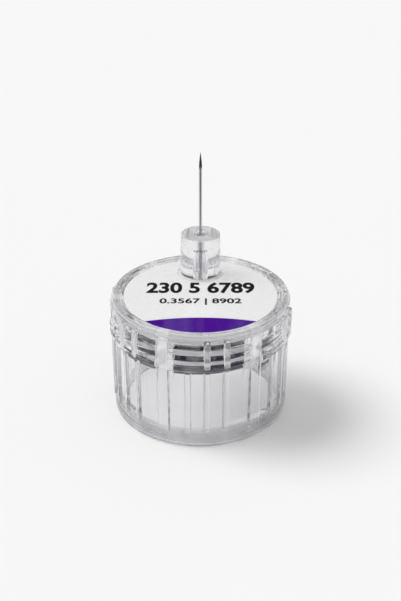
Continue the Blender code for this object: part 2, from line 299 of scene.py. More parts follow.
def new_material(name: str) -> tuple[bpy.types.Material, NodeSheet, bpy.types.Node]:
    """Starts a material.

    Args:
        name: The material's name.

    Returns:
        The material, a sheet on its tree, and its Principled shader.
    """
    material = bpy.data.materials.new(name)
    material.use_nodes = True
    return material, NodeSheet(material.node_tree), material.node_tree.nodes["Principled BSDF"]


@dataclass(frozen=True)
class Finish:
    """What every finish has.

    Attributes:
        name: The material's name.
        light: Its colour at its lightest or clearest.
        dark: Its colour at its darkest or cloudiest.
        smooth: Its lowest roughness.
        rough: Its highest roughness.
    """

    name: str
    light: Triple
    dark: Triple
    smooth: float
    rough: float

    def colour(self, sheet: NodeSheet, mask: Socket, span: Point) -> Socket:
        """A colour that goes from light to dark over a span of a mask."""
        return sheet.ramp(mask, zip(span, (self.light, self.dark)))

    def gloss(self, sheet: NodeSheet, mask: Socket, span: Point) -> Socket:
        """A roughness that goes from smooth to rough over a span of a mask."""
        return sheet.remap(mask, *span, self.smooth, self.rough)


@dataclass(frozen=True)
class ClearFinish(Finish):
    """A clear plastic or glue.

    Attributes:
        shadow: How much direct light each of its faces lets through.
        ripple_scale: How many waves its surface has in a metre.
        ripple_height: How high they are.
        bounce: How much bounced light each of its faces lets through.
        patches: Where between 0 and 1 the ripple's mask turns from clear to cloudy.
        coat: How much of a smooth, clear coat it has.
        coat_roughness: How rough the coat is.
        clear: How much of the light passes instead of scattering at the surface.
        index: Its index of refraction.
        dust_scale: How many cells for dust it has in a metre.
        dust_size: How much of a cell one speck takes.
        dust_roughness: How much rougher a speck is.
    """

    shadow: Triple
    ripple_scale: float = 900.0
    ripple_height: float = 0.0000005
    bounce: float = 0.96
    patches: Point = (0.35, 0.7)
    coat: float = 0.0
    coat_roughness: float = 0.03
    clear: float = 1.0
    index: float = 1.49
    dust_scale: float = 5200.0
    dust_size: float = 0.05
    dust_roughness: float = 0.05

    def build(self, effects: SurfaceEffects) -> bpy.types.Material:
        """Builds the material.

        Args:
            effects: The shared node groups.

        Returns:
            The material.
        """
        material, sheet, shader = new_material(self.name)
        ripple = sheet.group(effects.ripple, self.ripple_scale, self.ripple_height)
        specks = sheet.group(effects.specks, self.dust_scale, self.dust_size)["Mask"]
        gloss = self.gloss(sheet, ripple["Mask"], MASK_SPAN)
        sheet.fill(shader, {
            "Transmission Weight": self.clear,
            "IOR": self.index,
            "Coat Weight": self.coat,
            "Coat Roughness": self.coat_roughness,
            "Base Color": self.colour(sheet, ripple["Mask"], self.patches),
            "Roughness": sheet.work_out("MULTIPLY_ADD", specks, self.dust_roughness, gloss),
            "Normal": ripple["Normal"],
        })
        path = sheet.add("LightPath").outputs
        let_by = sheet.mix(path["Is Diffuse Ray"], opaque(self.shadow), opaque(grey(self.bounce)))
        through = sheet.add("BsdfTransparent", {"Color": let_by}).outputs["BSDF"]
        passed = sheet.work_out("MAXIMUM", path["Is Shadow Ray"], path["Is Diffuse Ray"])
        mixed = sheet.add("MixShader", {0: passed, 1: shader.outputs["BSDF"], 2: through})
        sheet.fill(material.node_tree.nodes["Material Output"], {"Surface": mixed.outputs["Shader"]})
        return material


@dataclass(frozen=True)
class FilmFinish(Finish):
    """A printed or bare plastic film, or dried ink.

    Attributes:
        coat: How much of a clear coat it has.
        coat_roughness: How rough the coat is.
        underside_shade: Its colour on its underside, darker than its face: painted shade.
        painted_sheen: How much lighter its soft streaks are, which run from front to back: painted
            reflection.
        through: How much of it scatters light from one face to the other.
        mirror: How strong its plain reflection is, 0.5 for that of its index.
        index: Its index of refraction.
        ripple_scale: How many waves its surface has in a metre.
        ripple_height: How high they are.
        speck_scale: How many cells for specks it has in a metre.
        speck_size: How much of a cell one speck takes.
        painted_streak_scale: How many of these painted streaks it has in a metre.
        painted_streak_span: Where between 0 and 1 the streaks' noise turns lighter.
        reach: How far light gets inside it.
        underside: How far down a face has to look to show the underside shade, -1 for straight down.
    """

    coat: float
    coat_roughness: float
    underside_shade: Triple = (0.66, 0.66, 0.67)
    painted_sheen: float = 0.0
    through: float = 0.0
    mirror: float = 0.5
    index: float = 1.5
    ripple_scale: float = 1400.0
    ripple_height: float = 0.0000002
    speck_scale: float = 9000.0
    speck_size: float = 0.03
    painted_streak_scale: float = 850.0
    painted_streak_span: Point = (0.52, 0.68)
    reach: float = 0.0001
    underside: float = -0.5

    def build(self, effects: SurfaceEffects) -> bpy.types.Material:
        """Builds the material.

        Args:
            effects: The shared node groups.

        Returns:
            The material.
        """
        material, sheet, shader = new_material(self.name)
        ripple = sheet.group(effects.ripple, self.ripple_scale, self.ripple_height)
        specks = sheet.group(effects.specks, self.speck_scale, self.speck_size)["Mask"]
        dotted = sheet.mix(specks, self.colour(sheet, ripple["Mask"], MASK_SPAN), opaque(self.dark))
        # Soft lighter streaks from front to back: painted reflection
        bands = sheet.noise(self.painted_streak_scale, 1.0, (1.0, 0.1, 1.0))
        with_painted_streaks = sheet.mix(sheet.remap(bands, *self.painted_streak_span, 0.0, self.painted_sheen), dotted, opaque(grey(1.0)))
        # Faces that look down take a darker grey: painted shade on the underside
        facing = sheet.add("SeparateXYZ", {0: sheet.place("Normal")}).outputs["Z"]
        under = sheet.work_out("LESS_THAN", facing, self.underside)
        sheet.fill(shader, {
            "IOR": self.index,
            "Coat Weight": self.coat,
            "Coat Roughness": self.coat_roughness,
            "Subsurface Weight": self.through,
            "Subsurface Scale": self.reach,
            "Subsurface Radius": grey(1.0),
            "Specular IOR Level": self.mirror,
            "Base Color": sheet.mix(under, with_painted_streaks, opaque(self.underside_shade)),
            "Roughness": self.gloss(sheet, ripple["Mask"], MASK_SPAN),
            "Normal": ripple["Normal"],
        })
        return material


@dataclass(frozen=True)
class SteelFinish(Finish):
    """Drawn or ground stainless steel.

    Attributes:
        streak_scale: How many lines it has in a metre.
        streak_height: How high they are.
        gloss_span: Where between 0 and 1 the streaks' mask turns from smooth to rough.
    """

    streak_scale: float
    streak_height: float = 0.0000004
    gloss_span: Point = (0.3, 0.7)

    def build(self, effects: SurfaceEffects) -> bpy.types.Material:
        """Builds the material.

        Args:
            effects: The shared node groups.

        Returns:
            The material.
        """
        material, sheet, shader = new_material(self.name)
        streaks = sheet.group(effects.streaks, self.streak_scale, self.streak_height)
        sheet.fill(shader, {
            "Metallic": 1.0,
            "Base Color": self.colour(sheet, streaks["Mask"], STREAK_SPAN),
            "Roughness": self.gloss(sheet, streaks["Mask"], self.gloss_span),
            "Normal": streaks["Normal"],
        })
        return material


HUB_FINISHES = {
    Zone.CLEAR: ClearFinish(
        "clear_moulding", grey(0.917, 0.933), grey(0.872, 0.893), 0.005, 0.02, grey(0.85, 0.86),
        ripple_scale=700.0, ripple_height=0.0000003,
    ),
    # Near black: painted shade for the dark reflections in the thread ridges
    Zone.THREAD: ClearFinish(
        "thread_painted_dark", grey(0.0, 0.001), grey(0.06, 0.065), 0.02, 0.08, grey(0.86, 0.87),
        ripple_scale=1500.0, ripple_height=0.000001, patches=(0.46, 0.66),
    ),
    # Mid grey: painted shade on the wall between the thread ridges
    Zone.GROOVE: ClearFinish(
        "groove_painted_shade", grey(0.46, 0.48), grey(0.31, 0.33), 0.02, 0.08, grey(0.92, 0.93),
        ripple_scale=1300.0, ripple_height=0.000001,
    ),
    Zone.RIM: ClearFinish(
        "rim_moulding", grey(0.90, 0.915), grey(0.83, 0.85), 0.03, 0.08, grey(0.92, 0.93),
        ripple_scale=600.0, ripple_height=0.0000002, coat=1.0, clear=0.8,
    ),
    Zone.PASSAGE: ClearFinish(
        "satin_moulding", grey(0.97, 0.98), grey(0.91, 0.94), 0.10, 0.24, grey(0.90, 0.91),
        ripple_scale=2200.0, ripple_height=0.000001,
    ),
    # Darker grey: painted shade on the clear ring at the foot
    Zone.FOOT: ClearFinish(
        "foot_painted_shade", grey(0.67, 0.69), grey(0.46, 0.48), 0.005, 0.02, grey(0.78, 0.79), bounce=0.86,
    ),
    Zone.BOSS: ClearFinish(
        "boss_moulding", grey(0.92, 0.94), grey(0.85, 0.875), 0.08, 0.14, grey(0.84, 0.85),
        ripple_height=0.000001, coat=0.6,
    ),
    # Darker grey, partly scattering: painted dark lines along rib flanks, pad sides and the ring's shoulder
    Zone.FLANK: ClearFinish(
        "flank_painted_dark_lines", grey(0.80, 0.82), grey(0.70, 0.72), 0.02, 0.06, grey(0.94, 0.95), clear=0.78,
    ),
    # Near white and partly scattering: a satin finish that also carries painted light
    Zone.SOFT: ClearFinish(
        "soft_painted_light", grey(0.97, 0.98), grey(0.93, 0.95), 0.03, 0.09, grey(0.94, 0.95), clear=0.68,
    ),
    Zone.FILLET: ClearFinish(
        "fillet_moulding", grey(0.96, 0.97), grey(0.90, 0.92), 0.05, 0.14, grey(0.90, 0.91),
        ripple_height=0.000001, coat=0.3, clear=0.35,
    ),
}
GLUE_FINISH = ClearFinish(
    "cured_glue", grey(0.97), grey(0.94), 0.05, 0.16, grey(0.86),
    ripple_scale=2500.0, ripple_height=0.000004, index=1.47,
)
STEEL_FINISHES = {
    Metal.DRAWN: SteelFinish("drawn_steel", grey(0.60, 0.62), grey(0.46, 0.48), 0.12, 0.22, 16000.0),
    # Near black: painted dark reflection on the bevels and painted shade in the lumen
    Metal.GROUND: SteelFinish("ground_steel_painted_dark", grey(0.08, 0.085), grey(0.03, 0.035), 0.25, 0.40, 30000.0),
    # Lighter than the drawn steel: painted light on the length in the glue
    Metal.BONDED: SteelFinish("bonded_steel_painted_light", grey(0.77, 0.80), grey(0.61, 0.64), 0.20, 0.32, 16000.0),
}
PALE_FINISH = FilmFinish("pale_film", grey(0.87), grey(0.86, 0.863), 0.22, 0.34, 0.3, 0.12, through=0.6)
# The violet print's faint lighter streaks are painted reflection
VIOLET_FINISH = FilmFinish(
    "violet_print", (0.068, 0.002, 0.285), (0.056, 0.001, 0.240), 0.20, 0.30, 0.35, 0.05,
    painted_sheen=0.028, through=0.2, mirror=0.03,
)
INK_FINISH = FilmFinish(
    "black_ink", grey(0.008, 0.009), grey(0.014, 0.015), 0.30, 0.45, 0.0, 0.15, mirror=0.04,
)


def link_piece(name: str, mesh: bpy.types.Mesh, materials: Iterable[bpy.types.Material]) -> bpy.types.Object:
    """Puts a mesh into the scene.

    Args:
        name: The object's name.
        mesh: The finished mesh.
        materials: Its materials, in the order of the faces' indices.

    Returns:
        The object, at the origin.
    """
    for material in materials:
        mesh.materials.append(material)
    made = bpy.data.objects.new(name, mesh)
    bpy.context.scene.collection.objects.link(made)
    return made


def keep_mesh(bm: bmesh.types.BMesh, name: str, materials: Iterable[bpy.types.Material]) -> bpy.types.Object:
    """Turns a bmesh into an object that is smooth between its sharp edges.

    Args:
        bm: The finished shape, which is freed.
        name: The object's name.
        materials: Its materials, in the order of the faces' indices.

    Returns:
        The object, in the scene and at the origin.
    """
    for face in bm.faces:
        face.smooth = True
    for edge in bm.edges:
        if len(edge.link_faces) == 2 and edge.calc_face_angle(0.0) > SHARP_ANGLE:
            edge.smooth = False
    mesh = bpy.data.meshes.new(name)
    bm.to_mesh(mesh)
    bm.free()
    return link_piece(name, mesh, materials)


def mesh_of(curve: bpy.types.Curve) -> bpy.types.Mesh:
    """Makes a curve or a text into a mesh of the same name.

    Args:
        curve: The curve or text.

    Returns:
        The mesh.
    """
    holder = bpy.data.objects.new(curve.name + "_curve", curve)
    bpy.context.scene.collection.objects.link(holder)
    graph = bpy.context.evaluated_depsgraph_get()
    mesh = bpy.data.meshes.new_from_object(holder.evaluated_get(graph))
    mesh.name = curve.name
    bpy.data.objects.remove(holder)
    return mesh


def attach(piece: bpy.types.Object, slot: Slot, *nodes: str) -> bpy.types.Object:
    """Lets a piece ride on the root body.

    Args:
        piece: The finished piece.
        slot: The record's material slot that it stands for; not used.
        *nodes: The CAD nodes that it stands for.

    Returns:
        The piece.
    """
    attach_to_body(piece, Body.ROOT.value)
    if nodes:
        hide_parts(*nodes)
    LOG.info("%s: %d faces", piece.name, len(piece.data.polygons))
    return piece


def blend_step(value: float, start: float, end: float) -> float:
    """0 before start, 1 after end, and a smooth step between them; start may lie above end."""
    share = min(1.0, max(0.0, (value - start) / (end - start)))
    return share * share * (3.0 - 2.0 * share)


def within(value: float, span: Point) -> bool:
    """Whether a value lies between the two ends of a span."""
    return span[0] < value < span[1]


def rounded_path(corners: Sequence[Triple]) -> list[Point]:
    """Rounds the corners of a path, with more steps where the rounding is larger.

    Args:
        corners: The path's corners, each with its radius of rounding, or 0 for none.

    Returns:
        The path's points.
    """
    points: list[Point] = [corners[0][:2]]
    for before, here, after in zip(corners, corners[1:], corners[2:]):
        corner = Vector(here[:2])
        back = (Vector(before[:2]) - corner).normalized()
        ahead = (Vector(after[:2]) - corner).normalized()
        half = math.acos(max(-1.0, min(1.0, back.dot(ahead)))) / 2
        if here[2] <= 0.0 or half > STRAIGHT:
            points.append(here[:2])
            continue
        reach = here[2] / math.tan(half)
        centre = corner + (back + ahead).normalized() * (here[2] / math.sin(half))
        first = corner + back * reach - centre
        last = corner + ahead * reach - centre
        turn = first.angle_signed(last)
        arc_steps = next(count for limit, count in ROUNDING_STEPS if here[2] < limit)
        for step in range(arc_steps + 1):
            spoke = first.copy()
            spoke.rotate(Matrix.Rotation(-turn * step / arc_steps, 2))
            points.append(tuple(centre + spoke))
    points.append(corners[-1][:2])
    return points


def with_heights(points: Sequence[Point], heights: Iterable[float]) -> list[Point]:
    """Adds points where a path first crosses given heights, so that it can take detail there.

    Args:
        points: The path's points, as (radius, height).
        heights: The heights to add.

    Returns:
        The path with the added points.
    """
    path = list(points)
    for height in heights:
        for index in range(len(path) - 1):
            (r0, z0), (r1, z1) = path[index], path[index + 1]
            if min(z0, z1) + APART < height < max(z0, z1) - APART:
                share = (height - z0) / (z1 - z0)
                path.insert(index + 1, (r0 + (r1 - r0) * share, height))
                break
    return path


def spin_path(bm: bmesh.types.BMesh, points: Sequence[Point], steps: int, axis_y: float = 0.0,
              closed: bool = False, copies: int = 1) -> list[bmesh.types.BMVert]:
    """Turns a path about an upright axis, from the front all the way round.

    Args:
        bm: Where the surface goes.
        points: The path's points, as (radius, height).
        steps: How many steps the turn has.
        axis_y: Where the axis stands.
        closed: Whether the path's end joins its start.
        copies: In how many equal sectors the turn is made, one spun and the rest copied from it.

    Returns:
        The vertices of the new surface.
    """
    before = set(bm.verts)
    row = bm.verts.layers.int.get("row") or bm.verts.layers.int.new("row")
    chain = [bm.verts.new((0.0, axis_y - radius, height)) for radius, height in points]
    for index, vert in enumerate(chain):
        vert[row] = index
    edges = [bm.edges.new(pair) for pair in zip(chain, chain[1:])]
    if closed:
        edges.append(bm.edges.new((chain[-1], chain[0])))
    centre = (0.0, axis_y, 0.0)
    sector = math.tau / copies
    bmesh.ops.spin(
        bm, geom=chain + edges, cent=centre, axis=(0.0, 0.0, 1.0), angle=sector,
        steps=steps // copies, use_merge=copies == 1, use_duplicate=False,
    )
    made = [vert for vert in bm.verts if vert not in before]
    if copies == 1:
        return made
    faces = {face for vert in made for face in vert.link_faces}
    spun = made + list({edge for face in faces for edge in face.edges}) + list(faces)
    for copy in range(1, copies):
        twin = bmesh.ops.duplicate(bm, geom=spun)["geom"]
        moved = [item for item in twin if isinstance(item, bmesh.types.BMVert)]
        bmesh.ops.rotate(bm, cent=centre, matrix=Matrix.Rotation(sector * copy, 3, "Z"), verts=moved)
        made += moved
    bmesh.ops.remove_doubles(bm, verts=made, dist=SEAM)
    return [vert for vert in bm.verts if vert not in before]


@dataclass(frozen=True)
class RibRow:
    """Ribs that stand at the same height.

    Attributes:
        angles: Their angles, from the nearest pad.
        reach: How far out their crests reach.
        low: The height of their lower ends.
        high: The height of their upper ends.
    """

    angles: tuple[float, ...]
    reach: float
    low: float
    high: float


@dataclass(frozen=True)
class GripPattern:
    """The pads and ribs round the hub, as a plan of angles and a shape over angle and height.

    Attributes:
        modules: How often the pattern repeats.
        first_pad: The angle of one pad.
        pad_half: Half the angle that a pad takes.
        pad_edge: Half the angle over which a pad's side rises.
        pad_lip: How far the thin lip along each side of a pad stands proud of it.
        lip_place: How far inside the pad's side the lip's middle lies, in degrees.
        lip_half: Half the angle that the lip takes.
        pad_low: The height where a pad starts.
        pad_top: The height where it ends.
        pad_rise: The height over which it comes out of the wall at its lower end.
        pad_fall: The same at its upper end.
        radius: How far out the pads reach.
        rib_half: Half a rib's width.
        skirt: The ribs on the skirt.
        collar: The ribs on the collar.
        edge_marks: Where a pad's side needs columns, in shares of its half width.
        lip_marks: Where its lip needs them, in degrees from its side.
        break_marks: Where the thread's ends need them, in degrees from the pad.
        rib_marks: Where a rib needs them, in degrees from its middle.
        widest: The widest step between columns.
    """

    modules: int = 6
    first_pad: float = -24.0
    pad_half: float = 4.0
    pad_edge: float = 0.2
    pad_lip: float = 0.00003
    lip_place: float = 0.3
    lip_half: float = 0.5
    pad_low: float = 0.00080
    pad_top: float = 0.00698
    pad_rise: float = 0.00008
    pad_fall: float = 0.00006
    radius: float = 0.00519
    rib_half: float = 0.00018
    skirt: RibRow = RibRow((16.0, 28.0, 40.0), 0.00519, 0.00083, 0.00515)
    collar: RibRow = RibRow((28.0, 40.0), 0.0053599, 0.00517, 0.00694)
    edge_marks: tuple[float, ...] = (-1.0, -0.33, 0.33, 1.0)
    lip_marks: tuple[float, ...] = (1.0, 0.75, 0.5, 0.35)
    break_marks: tuple[float, ...] = (5.0, 5.4, 5.8, 6.2)
    rib_marks: tuple[float, ...] = (0.0, 2.2, 1.97, 1.9, 1.75, 1.5, 1.1)
    widest: float = 1.6

    @property
    def module(self) -> float:
        """The angle after which the pattern repeats."""
        return 360.0 / self.modules

    def angles(self) -> list[float]:
        """Works out where the hub's surface has its columns.

        Returns:
            Their angles all the way round, closest where the pattern has detail.
        """
        marks = {0.0}
        for side in (-1.0, 1.0):
            marks.update(side * (self.pad_half + share * self.pad_edge) for share in self.edge_marks)
            marks.update(side * (self.pad_half - value) for value in self.lip_marks)
            marks.update(side * value for value in self.break_marks)
            marks.update(rib + side * value for rib in self.skirt.angles for value in self.rib_marks)
        local = sorted(marks)
        columns = []
        for start, end in zip(local, [*local[1:], local[0] + self.module]):
            parts = max(1, math.ceil((end - start) / self.widest))
            columns += [start + (end - start) * part / parts for part in range(parts)]
        starts = [self.first_pad + self.module * index for index in range(self.modules)]
        return [start + angle for start in starts for angle in columns]

    def wrapped(self, turn: float) -> float:
        """A turn from the nearest place that repeats it, between minus and plus half a module."""
        return (turn + self.module / 2) % self.module - self.module / 2

    def from_pad(self, angle: float) -> float:
        """An angle measured from the nearest pad."""
        return self.wrapped(angle - self.first_pad)

    def rib_share(self, angle: float, height: float, row: RibRow) -> float:
        """How far a place lies from a row's nearest rib.

        Args:
            angle: The angle round the hub.
            height: The height.
            row: The row of ribs.

        Returns:
            The square of the distance in half widths: 0 in the rib's middle, 1 at its edge.
        """
        turn = min(abs(self.wrapped(self.from_pad(angle) - rib)) for rib in row.angles)
        past = max(row.low + self.rib_half - height, height - row.high + self.rib_half, 0.0)
        return ((math.radians(turn) * self.radius) ** 2 + past ** 2) / self.rib_half ** 2

    def outside(self, angle: float, height: float, radius: float) -> float:
        """The radius of the outside, with its pads and ribs.

        Args:
            angle: The angle round the hub.
            height: The height.
            radius: The radius of the plain turned wall there.

        Returns:
            The radius with the pattern.
        """
        inward = abs(self.from_pad(angle)) - self.pad_half
        across = blend_step(inward, self.pad_edge, -self.pad_edge)
        along = blend_step(height, self.pad_low, self.pad_low + self.pad_rise)
        along *= blend_step(height, self.pad_top, self.pad_top - self.pad_fall)
        lip = 1.0 - min(1.0, abs(inward + self.pad_edge + self.lip_place) / self.lip_half) ** 2
        made = radius + (self.radius + self.pad_lip * lip - radius) * across * along
        for row in (self.skirt, self.collar):
            share = self.rib_share(angle, height, row)
            if share < 1.0:
                made = max(made, row.reach - self.rib_half * (1.0 - (1.0 - share ** 2) ** 0.5))
        return made


@dataclass
class ThreadPlan:
    """The broken single-start thread in the hollow.

    Attributes:
        grip: The pattern whose pads break the thread.
        ceiling: The height of the hollow's end.
        pitch: The climb in one turn.
        depth: How far a ridge stands in from the wall.
        crest_half: Half the width of its crest.
        root_half: Half the width of its root.
        row_shares: Where each half of a ridge has its rows, in shares of the root's half.
        top_gap: The distance from the ceiling to the first ridge at the front.
        clearance: How far below the ceiling a ridge's root stays.
        length: How far below the ceiling the thread reaches.
        break_half: Half the angle of the gap behind each pad.
        run_out: The angle over which a ridge comes out of the wall.
        margin: How far beside a gap the ridge's height is read, to carry it across.
        turns: How many ridges lie over each other at most.
        shade_top: How far above the lowest ridge the wall still has the ridges' painted shade.
    """

    grip: GripPattern
    ceiling: float
    pitch: float = 0.00075
    depth: float = 0.0002
    crest_half: float = 0.00004
    root_half: float = 0.00015
    row_shares: tuple[float, ...] = (1.0, 0.86, 0.7, 0.54, 0.4, 0.27)
    top_gap: float = 0.00021
    clearance: float = 0.00004
    length: float = 0.00195
    break_half: float = 5.0
    run_out: float = 1.2
    margin: float = 0.001
    turns: int = 3
    shade_top: float = 0.00037

    def rows(self) -> list[tuple[int, float]]:
        """Lists the wall's rows, from the lowest ridge up.

        Returns:
            The ridge of each row, and the row's distance from that ridge's middle.
        """
        half = [self.root_half * share for share in self.row_shares]
        offsets = [-value for value in half] + [0.0] + half[::-1]
        rows = [(turn, offset) for turn in reversed(range(self.turns)) for offset in offsets]
        rows.insert(len(offsets), (self.turns - 1, self.shade_top))
        return rows

    def sector(self, angle: float) -> Point:
        """Finds the thread in the sector that an angle lies in.

        Args:
            angle: The angle round the hub.

        Returns:
            The height of the sector's highest ridge in its middle, and the middle's angle.
        """
        index = math.floor((angle - self.grip.first_pad) / self.grip.module)
        middle = self.grip.first_pad + self.grip.module * (index + 0.5)
        height = self.ceiling - self.top_gap + self.pitch * (middle % 360.0) / 360.0
        while height > self.ceiling - self.root_half - self.clearance:
            height -= self.pitch
        return height, middle

    def middle_height(self, angle: float, turn: int) -> float:
        """How high a ridge's middle lies, carried smoothly across each pad.

        Args:
            angle: The angle round the hub.
            turn: Which ridge it is, from the top.

        Returns:
            The height.
        """
        place = self.grip.from_pad(angle)
        if abs(place) < self.break_half:
            beside = self.break_half + self.margin
            low = self.middle_height(angle - place - beside, turn)
            high = self.middle_height(angle - place + beside, turn)
            return low + (high - low) * blend_step(place, -self.break_half, self.break_half)
        height, middle = self.sector(angle)
        half = self.grip.module / 2
        sweep = min(half, max(-half, angle - middle))
        return height - self.pitch * turn + self.pitch * sweep / 360.0

    def window(self, angle: float) -> float:
        """1 where the thread has its full depth at an angle, and 0 behind a pad."""
        return blend_step(abs(self.grip.from_pad(angle)), self.break_half, self.break_half + self.run_out)

    def inside(self, angle: float, turn: int, offset: float) -> float:
        """How far a ridge stands in from the wall.

        Args:
            angle: The angle round the hub.
            turn: Which ridge it is, from the top.
            offset: The distance from the ridge's middle.

        Returns:
            The depth there.
        """
        if self.sector(angle)[0] - self.pitch * turn < self.ceiling - self.length:
            return 0.0
        return self.depth * self.window(angle) * blend_step(abs(offset), self.root_half, self.crest_half)


@dataclass
class Hub:
    """The clear moulding, as one closed shell: rim, collar, skirt, thread, disc and boss.

    Attributes:
        rim_radius: The radius of the rim.
        height: The height of the rim's crest.
        seat: The height of the flat under the label.
        ceiling: The height of the flat end of the hollow.
        recess_radius: The radius of the label's recess.
        collar_edge: The height of the collar's lower edge.
        collar_radius: The collar's radius above its bead.
        collar_flare: How much wider the collar is at its lower edge than at the crest.
        line_depths: How far the scribed lines lie below the crest.
        line_half: Half a scribed line's width.
        line_cut: How deep it is cut.
        bead_radius: The bead's radius.
        skirt_radius: The radius of the plain skirt.
        base_radius: The radius of the ring at the foot.
        bore_radius: The radius of the hollow.
        mouth_radius: The radius of the hollow's mouth.
        detail_rows: The heights at which the outside takes detail, from the rim down.
        boss_rows: The same for the boss.
        boss_steps: The steps of the boss's turn.
        passage_radius: The radius round the boss's axis within which its passage lies.
        wall_low: How far above the seat the boss's plain wall starts.
        fillet_high: How far above the seat the fillet at its foot reaches.
        boss_edge: How far below the boss's upper face its rounded edge starts.
        rim_low: The height above which the wall has the rim's finish.
        foot_top: The height below which the wall is the thick ring at the foot.
        shoulder_low: The height down to which the ring's shoulder has a painted dark line.
        groove_span: The heights between which the ring's lower groove has a painted light line.
        flank_span: Between which shares from a rib's middle its flank lies, with a painted dark line.
        side_margin: How far beyond a pad's side its painted dark line reaches, in degrees.
        row_start: Where the thread's rows lie before they are moved to their heights.
        row_step: How far apart they lie there.
        shown: The share of its depth from which the thread has its near-black painted shade.
        grip: The pads and ribs.
    """

    rim_radius: float = 0.0051
    height: float = 0.00728
    seat: float = 0.00706
    ceiling: float = 0.0065
    recess_radius: float = 0.00444
    collar_edge: float = 0.00507
    collar_radius: float = 0.00523
    collar_flare: float = 0.00013
    line_depths: Triple = (0.0009, 0.00125, 0.00157)
    line_half: float = 0.00005
    line_cut: float = 0.00003
    bead_radius: float = 0.00531
    skirt_radius: float = 0.00502
    base_radius: float = 0.00516
    bore_radius: float = 0.0045
    mouth_radius: float = 0.00472
    detail_rows: tuple[float, ...] = (
        0.00698, 0.00696, 0.00694, 0.00692, 0.00690, 0.00687, 0.00683, 0.00679, 0.0065, 0.0062,
        0.0059, 0.0056, 0.0053, 0.0047, 0.0042, 0.0036, 0.003, 0.0024, 0.0018, 0.0015,
        0.00118, 0.00097, 0.00093, 0.00090, 0.00087, 0.00085, 0.00083, 0.00081, 0.00079, 0.0006,
    )
    boss_rows: tuple[float, ...] = (0.0075, 0.0081, 0.0087, 0.0092)
    boss_steps: int = 128
    passage_radius: float = 0.00042
    wall_low: float = 0.00016
    fillet_high: float = 0.00017
    boss_edge: float = 0.00007
    rim_low: float = 0.00699
    foot_top: float = 0.00113
    shoulder_low: float = 0.00098
    groove_span: Point = (0.000255, 0.000345)
    flank_span: Point = (0.6, 1.4)
    side_margin: float = 0.01
    row_start: float = 0.004
    row_step: float = 0.000001
    shown: float = 0.3
    grip: GripPattern = GripPattern()

    def _outer_path(self) -> list[Point]:
        """Draws the section from the seat's edge over the rim, the collar and the skirt.

        Returns:
            Its points, as far as the start of the hollow's wall.
        """
        recess, rim, top = self.recess_radius, self.rim_radius, self.height
        edge, skirt, base = self.collar_edge, self.skirt_radius, self.base_radius
        corners = [
            # Ledge and crest of the rim
            (recess, self.seat, 0.0), (recess, top - 0.00013, 0.00003),
            (recess + 0.00014, top - 0.00009, 0.00005), (recess + 0.00024, top - 0.0001, 0.00005),
            (rim - 0.00032, top, 0.00009), (rim, top, 0.00016),
            # Fine bead and groove below the crest
            (rim + 0.000009, top - 0.00017, 0.0), (rim + 0.00005, top - 0.0002, 0.0),
            (rim + 0.00005, top - 0.00022, 0.0), (rim + 0.000015, top - 0.00025, 0.0),
            (rim - 0.00001, top - 0.00028, 0.0),
        ]
        for depth in self.line_depths:
            radius, height = rim + self.collar_flare * depth / (top - edge), top - depth
            corners += [(radius, height + self.line_half, 0.0), (radius - self.line_cut, height, 0.0),
                        (radius, height - self.line_half, 0.0)]
        corners += [
            # Collar's bead and lower edge
            (self.collar_radius, edge + 0.00042, 0.00006), (self.bead_radius, edge + 0.00034, 0.00005),
            (self.bead_radius, edge + 0.00008, 0.00006), (self.collar_radius, edge, 0.00004),
            # Skirt, with the sloped shoulder of the base ring
            (skirt, edge - 0.00008, 0.00006), (skirt, 0.00112, 0.00006), (base - 0.00007, 0.00101, 0.00006),
            # Base ring and its two fine grooves
            (base - 0.00003, 0.00068, 0.0), (base - 0.00006, 0.00064, 0.00001), (base - 0.00001, 0.0006, 0.0),
            (base, 0.00034, 0.0), (base - 0.00004, 0.0003, 0.00001), (base, 0.00026, 0.0),
            (base, 0.0, 0.00018),
            # Mouth and start of the hollow
            (self.mouth_radius, 0.0, 0.00016), (self.mouth_radius, 0.00112, 0.00008),
            (self.bore_radius, 0.00136, 0.00008), (self.bore_radius, 0.0025, 0.0),
        ]
        return with_heights(rounded_path(corners), self.detail_rows)

    def _boss_path(self) -> list[Point]:
        """Draws the section of the boss, its passage and the guide below the disc.

        Returns:
            Its points.
        """
        seat, end = self.seat, self.ceiling - 0.0009
        corners = [
            # Boss, from its foot to its upper face
            (0.00134, seat, 0.0), (0.00134, seat + 0.00003, 0.0), (0.00122, seat + 0.00015, 0.00006),
            (0.00116, BOSS_TOP, 0.00007),
            # Dimple, channel and well
            (0.00039, BOSS_TOP, 0.00003), (0.00019, BOSS_TOP - 0.00022, 0.00004),
            (0.00019, BOSS_TOP - 0.00092, 0.00003), (0.00028, BOSS_TOP - 0.00098, 0.00004),
            (0.00028, end, 0.00003),
            # Guide
            (0.0006, end, 0.00005), (0.00072, self.ceiling, 0.0),
        ]
        return with_heights(rounded_path(corners), self.boss_rows)

    def _outside_zones(self, angle: float, height: float) -> list[Zone]:
        """Finds what painted light and painted dark lines pads, ribs and the base ring's edges give to a
        place on the outside.

        Args:
            angle: The angle round the hub.
            height: The height.

        Returns:
            The finishes that carry painted light and painted shade, or none on the plain wall.
        """
        across = abs(self.grip.from_pad(angle)) - self.grip.pad_half
        pad = across < 0.0 and height > self.collar_edge
        side = abs(across) < self.grip.pad_edge + self.side_margin and not pad
        rib = self.grip.rib_share(angle, height, self.grip.collar) < 1.0
        flank = within(self.grip.rib_share(angle, height, self.grip.skirt), self.flank_span)
        zones = []
        # Pads on the collar, collar ribs and the ring's lower groove get painted light
        if pad or rib or within(height, self.groove_span):
            zones.append(Zone.SOFT)
        # Pad sides, rib flanks and the ring's shoulder get painted dark lines
        if side or flank or self.shoulder_low < height < self.foot_top:
            zones.append(Zone.FLANK)
        return zones

